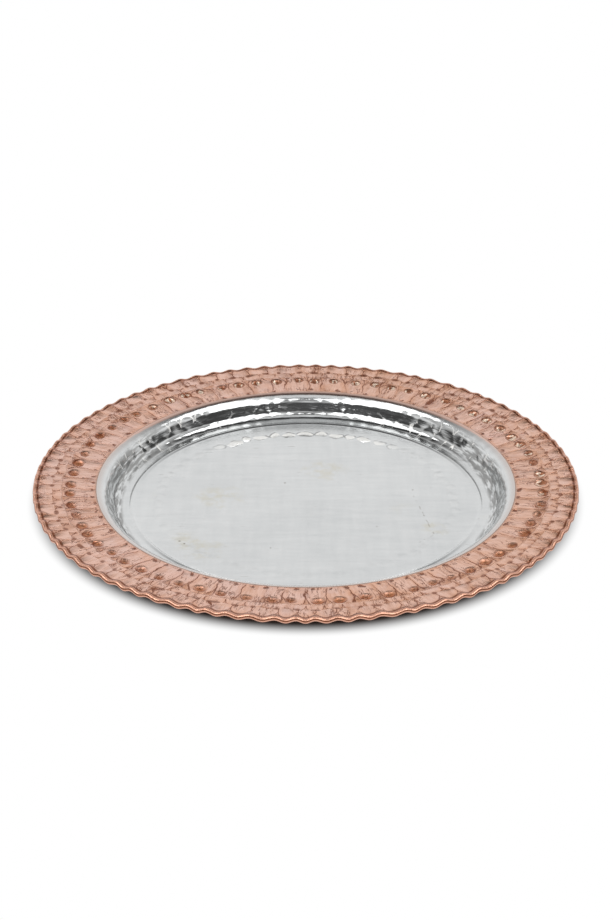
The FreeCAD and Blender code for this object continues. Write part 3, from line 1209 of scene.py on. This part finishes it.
@dataclass
class CopperSheet(TurnedPiece):
    """The tray itself: one sheet, with its rim hammered and its edge rolled."""

    relief: float = 0.00045
    laps: Place = (0.0008, 0.0)
    name: ClassVar[str] = "copper_sheet"
    slot: ClassVar[str] = "copper"
    nodes: ClassVar[tuple[str, ...]] = ("copper_tray",)

    def outline(self) -> list[Place]:
        """Path round the sheet's section, from the floor's top to its underside.

        Under the tin the sheet lies a little low, so that it never shows through.

        Returns:
            Pairs of radius and height.
        """
        sizes, work = self.sizes, self.work
        upper = sheet_profile(sizes, sizes.gauge - self.relief, Detail.HIDDEN)[:-1]
        radii = [sizes.shoulder_end - lap for lap in self.laps]
        dimple = sizes.outer_radius - work.dimple_inset
        reach = work.dimple_radius * 1.1 + 0.0008
        curl_start = sizes.bead_radius - sizes.bead_thickness * 0.7
        for stop, count in ((dimple - reach, 9), (dimple + reach, 13), (curl_start, 16)):
            radii += steps(radii[-1], stop, count)[1:]
        upper += [(radius, sizes.rim_height(radius)) for radius in radii]
        curl = curl_profile(sizes)
        under = sheet_profile(sizes, 0.0, Detail.PLAIN)
        rim = steps(under[-1][0], curl[-1][0] - 0.0006, 14)[1:]
        under += [(radius, sizes.rim_height(radius, 0.0)) for radius in rim]
        return upper + curl + under[::-1]

    def shift(self, at: Points) -> tuple[Array, Array]:
        """Shift of the sheet's surface.

        Args:
            at: points on the plain sheet.

        Returns:
            The shifts outwards and the shifts upwards.
        """
        rim = at.radius > self.sizes.shoulder_end
        wall = at.radius > self.sizes.corner_centre[0]
        upper_floor = ~wall & (at.height > self.sizes.gauge / 2)
        out, up = self.work.rim_shift(at)
        out = np.where(rim, out, self.work.wall_depth * self.work.wall_dents(at))
        up = np.where(rim, up, np.where(upper_floor, self.work.floor_shift(at), 0.0))
        return out, up

    def mark(self, piece: bpy.types.Object) -> None:
        """Lay the places inside the hammered cells down as UV maps.

        Args:
            piece: the piece, before its surface is shifted.
        """
        mesh, work = piece.data, self.work
        at = polar(piece)
        strayed = work.strayed(at)
        (corners,) = read(mesh.loops, "vertex_index", kind=int)
        (totals,) = read(mesh.polygons, "loop_total", kind=int)
        x, y, _ = read(mesh.polygons, "center", 3)
        middle = np.repeat((np.arctan2(y, x) / TURN) % 1.0, totals)
        outer = ("outer_cells", work.outer_cells, work.row_place(at))
        inner = ("inner_cells", work.inner_cells, work.dimple(at))
        for name, cells, other in (outer, inner):
            index, place = cells.locate(strayed)
            along = (index + 0.5 + 0.5 * place)[corners]
            along = along + cells.count * np.round(middle - along / cells.count)
            lay_map(piece, name, along, other[corners])
        # The underside, and the punch marks together with the rolled edge's painted shade
        under, worn_punched_shaded = self.underside_punches_and_bead_shade(at)
        lay_map(piece, "underside_punches_and_bead_shade", under[corners], worn_punched_shaded[corners])

    def underside_punches_and_bead_shade(self, at: Points) -> tuple[Array, Array]:
        """Where the underside and the punch marks are, and where painted shade goes down the rolled edge.

        Args:
            at: points on the plain sheet.

        Returns:
            1 on the underside, and the punch marks, less than 0 where painted shade goes down the outside
            of the rolled edge.
        """
        sizes = self.sizes
        inside = at.radius < sizes.bead_radius - sizes.bead_thickness * 0.4
        low = inside & (at.height < sizes.rim_height(at.radius, sizes.gauge * 0.5))
        under = low | (at.radius < sizes.shoulder_end)
        # Painted shade down the outside of the rolled edge, growing downwards
        painted_bead_shade = np.clip((sizes.bead_height + 0.0008 - at.height) / 0.0010, 0.0, 2.2)
        painted_bead_shade = painted_bead_shade * (at.radius > sizes.bead_radius - 0.0005)
        return under.astype(float), self.work.punched(at) - painted_bead_shade


@dataclass
class RimWire(TurnedPiece):
    """The wire inside the rolled edge."""

    sides: int = 10
    name: ClassVar[str] = "core_wire"
    slot: ClassVar[str] = "core_wire"
    nodes: ClassVar[tuple[str, ...]] = ("rim_wire",)
    closed: ClassVar[bool] = True

    def outline(self) -> list[Place]:
        """Closed path round the wire's section, as pairs of radius and height."""
        centre = self.sizes.bead_radius, self.sizes.bead_height
        return arc(centre, self.sizes.wire_thickness / 2, 0.0, TURN, self.sides)[:-1]

    def shift(self, at: Points) -> tuple[Array, Array]:
        """Shift of the wire, which follows the sheet at the wire's line."""
        return self.work.rim_shift(replace(at, radius=np.full_like(at.radius, self.sizes.bead_radius)))


@dataclass
class TinLining(TurnedPiece):
    """The coat of tin in the well."""

    name: ClassVar[str] = "tin_coat"
    slot: ClassVar[str] = "tin"
    nodes: ClassVar[tuple[str, ...]] = ("tin_lining",)

    def outline(self) -> list[Place]:
        """Path round the coat's section.

        Returns:
            Pairs of radius and height.
        """
        sizes = self.sizes
        upper = sheet_profile(sizes, sizes.gauge + sizes.tin, Detail.FINE)
        under = sheet_profile(sizes, sizes.gauge, Detail.FINE)
        return upper + under[::-1]

    def shift(self, at: Points) -> tuple[Array, Array]:
        """Shift of the coat's surface at points."""
        return self.work.wall_depth * self.work.wall_dents(at), self.work.floor_shift(at)

    def mark(self, piece: bpy.types.Object) -> None:
        """Lay the dents down as a UV map, those of the floor across it and those of the wall up it.

        Args:
            piece: the piece, before its surface is shifted.
        """
        at = polar(piece)
        (corners,) = read(piece.data.loops, "vertex_index", kind=int)
        lay_map(piece, "dents", self.work.floor_dents(at)[corners], self.work.wall_dents(at)[corners])


def aimed(place: Vector, way: Vector) -> Matrix:
    """Matrix of a lamp or camera at a place that looks a way."""
    return Matrix.Translation(place) @ way.to_track_quat("-Z", "Y").to_matrix().to_4x4()


@dataclass(frozen=True)
class Softbox:
    """A lamp that faces the tray.

    Its level is the brightness of its face, where 1 is white. Its bearing, from the camera's side
    towards +X, and its lift over the table are in degrees. Polished metal shows it if it is mirrored.
    """

    name: str
    level: float
    width: float
    height: float
    bearing: float
    lift: float
    distance: float = 2.0
    mirrored: bool = True

    def build(self) -> None:
        """Build the lamp."""
        light = bpy.data.lights.new(self.name, "AREA")
        light.shape = "RECTANGLE"
        light.size, light.size_y = self.width, self.height
        light.energy = self.level * math.pi * self.width * self.height
        bearing, lift = math.radians(self.bearing), math.radians(self.lift)
        way = (math.sin(bearing) * math.cos(lift), -math.cos(bearing) * math.cos(lift), math.sin(lift))
        made = linked(self.name, light)
        made.matrix_world = aimed(Vector(way) * self.distance, -Vector(way))
        made.visible_glossy = self.mirrored


@dataclass
class Studio:
    """Floor, backdrop, lamps and camera."""

    sizes: TraySizes
    elevation: float = math.radians(27.61)
    distance_in_radii: float = 7.0
    lens: float = 74.27
    lower: float = 0.0104
    aside: float = 0.0004
    floor_reach: float = 4.0
    floor_pale: Colour = (0.40, 0.40, 0.40, 1.0)
    floor_painted_shadow: Colour = (0.14, 0.14, 0.14, 1.0)
    backdrop_reach: float = 3.0
    backdrop_height: float = 4.3
    backdrop_sides: int = 96
    backdrop_level: float = 0.91
    room_level: float = 0.06
    lamps: tuple[Softbox, ...] = (
        Softbox("left_box", 2.0, 1.36, 1.2, -44.0, 53.0),
        Softbox("left_top", 2.2, 1.3, 0.9, -90.0, 62.0),
        Softbox("right_box", 2.0, 1.36, 1.2, 44.0, 53.0),
        Softbox("right_top", 2.2, 1.3, 0.9, 90.0, 62.0),
        Softbox("overhead", 0.70, 1.2, 1.2, 0.0, 90.0, 2.2),
        Softbox("front_fill", 7.0, 1.2, 0.55, 0.0, 41.0, 2.2, mirrored=False),
    )

    def staged(self, name: str, shape: bmesh.types.BMesh, material: bpy.types.Material) -> None:
        """Put a part of the studio in the scene.

        Args:
            name: its name.
            shape: its shape.
            material: its material.
        """
        made = modelled(name, shape)
        made.data.materials.append(material)

    def floor(self) -> None:
        """Floor under the tray: white to the eye and in the metal a little way out from it, grey close
        round it and darker on the camera's side, a painted shadow; duller in what it gives back.
        """
        paint = Paint("pale_floor")
        radius = self.sizes.outer_radius
        _, x, y, _, _ = paint.place()
        seen = paint.ray("Is Camera Ray").at_least(paint.ray("Is Glossy Ray"))
        seen = seen.at_least(paint.ray("Is Transmission Ray"))
        # Painted shadow: seen close round the tray on the camera's side, the floor is darker than in the
        # light it gives back
        tone = paint.mix(seen * y.stepped(radius * 0.7, 0.0), self.floor_pale, self.floor_painted_shadow)
        diffuse = paint.node("ShaderNodeBsdfDiffuse", {}, tone)
        y = y - radius * 0.10
        away = (x * x + y * y).root().stepped(radius * 0.953, radius * 1.045)
        material = paint.surface(paint.node("ShaderNodeMixShader", {}, seen * away, diffuse, paint.glow()))
        shape = bmesh.new()
        bmesh.ops.create_grid(shape, x_segments=1, y_segments=1, size=self.floor_reach)
        self.staged("floor", shape, material)

    def backdrop(self) -> None:
        """White sweep behind the tray that runs on round it, higher off the ground towards the camera."""
        paint = Paint("backdrop_white")
        _, _, y, height, _ = paint.place()
        lower_edge = (self.backdrop_reach * 0.2 - y).at_least(y.stepped(1.1, 0.7))
        above = height - lower_edge.at_most(self.backdrop_height * 0.53)
        lit = above.stepped(-0.3, 0.3) * height.stepped(self.backdrop_height, 1.55)
        level = (self.backdrop_level * (0.22 + 0.78 * lit)).at_most(0.10 + above.stepped(-0.3, 0.0))
        low_band = (0.72 - y * 0.22 - height).stepped(0.0, 0.35) * y.stepped(-0.4, -1.3)
        level = level.at_least(low_band * 0.62).at_least(paint.ray("Is Camera Ray"))
        material = paint.surface(paint.glow(paint.mix(level, BLACK, WHITE)))
        shape = bmesh.new()
        foot = shape.verts.new((0.0, self.backdrop_reach, 0.0))
        head = shape.verts.new((0.0, self.backdrop_reach, self.backdrop_height))
        line = [foot, head, shape.edges.new((foot, head))]
        spin = {"cent": (0, 0, 0), "axis": (0, 0, 1), "angle": TURN, "use_merge": True}
        bmesh.ops.spin(shape, geom=line, steps=self.backdrop_sides, **spin)
        self.staged("backdrop", shape, material)

    def world(self) -> None:
        """Dim surroundings."""
        paint = Paint("surroundings", bpy.data.worlds)
        ground = paint.node("ShaderNodeBackground", {}, WHITE, self.room_level)
        paint.node("ShaderNodeOutputWorld", {}, ground)
        bpy.context.scene.world = paint.owner

    def camera(self) -> None:
        """Camera at the viewing angle."""
        centre = Vector((0.0, 0.0, self.sizes.bead_height))
        back = Vector((0.0, -math.cos(self.elevation), math.sin(self.elevation)))
        up = Vector((0.0, math.sin(self.elevation), math.cos(self.elevation)))
        place = centre + back * self.distance_in_radii * self.sizes.outer_radius
        aim = centre + up * self.lower + Vector((self.aside, 0.0, 0.0))
        data = bpy.data.cameras.new("camera")
        data.lens = self.lens
        data.clip_start = 0.01
        made = linked("camera", data)
        made.matrix_world = aimed(place, aim - place)
        bpy.context.scene.camera = made

    def build(self) -> None:
        """Set up the whole studio."""
        bpy.context.scene.view_settings.view_transform = "Standard"
        self.camera()
        self.floor()
        self.backdrop()
        self.world()
        for lamp in self.lamps:
            lamp.build()


def main() -> None:
    """Build the tray and its studio."""
    logging.basicConfig(level=logging.INFO, format="%(message)s")
    low, high = CAD_BOX
    sizes = TraySizes(outer_radius=(high[1] - low[1]) / 2 - 0.0001)
    work = HammerWork(sizes)
    Studio(sizes).build()
    CopperSheet(sizes, work).build(CopperFinish().material(work))
    RimWire(sizes, work).build(WireFinish().material())
    TinLining(sizes, work).build(TinFinish().material(sizes))


if __name__ == "__main__":
    main()
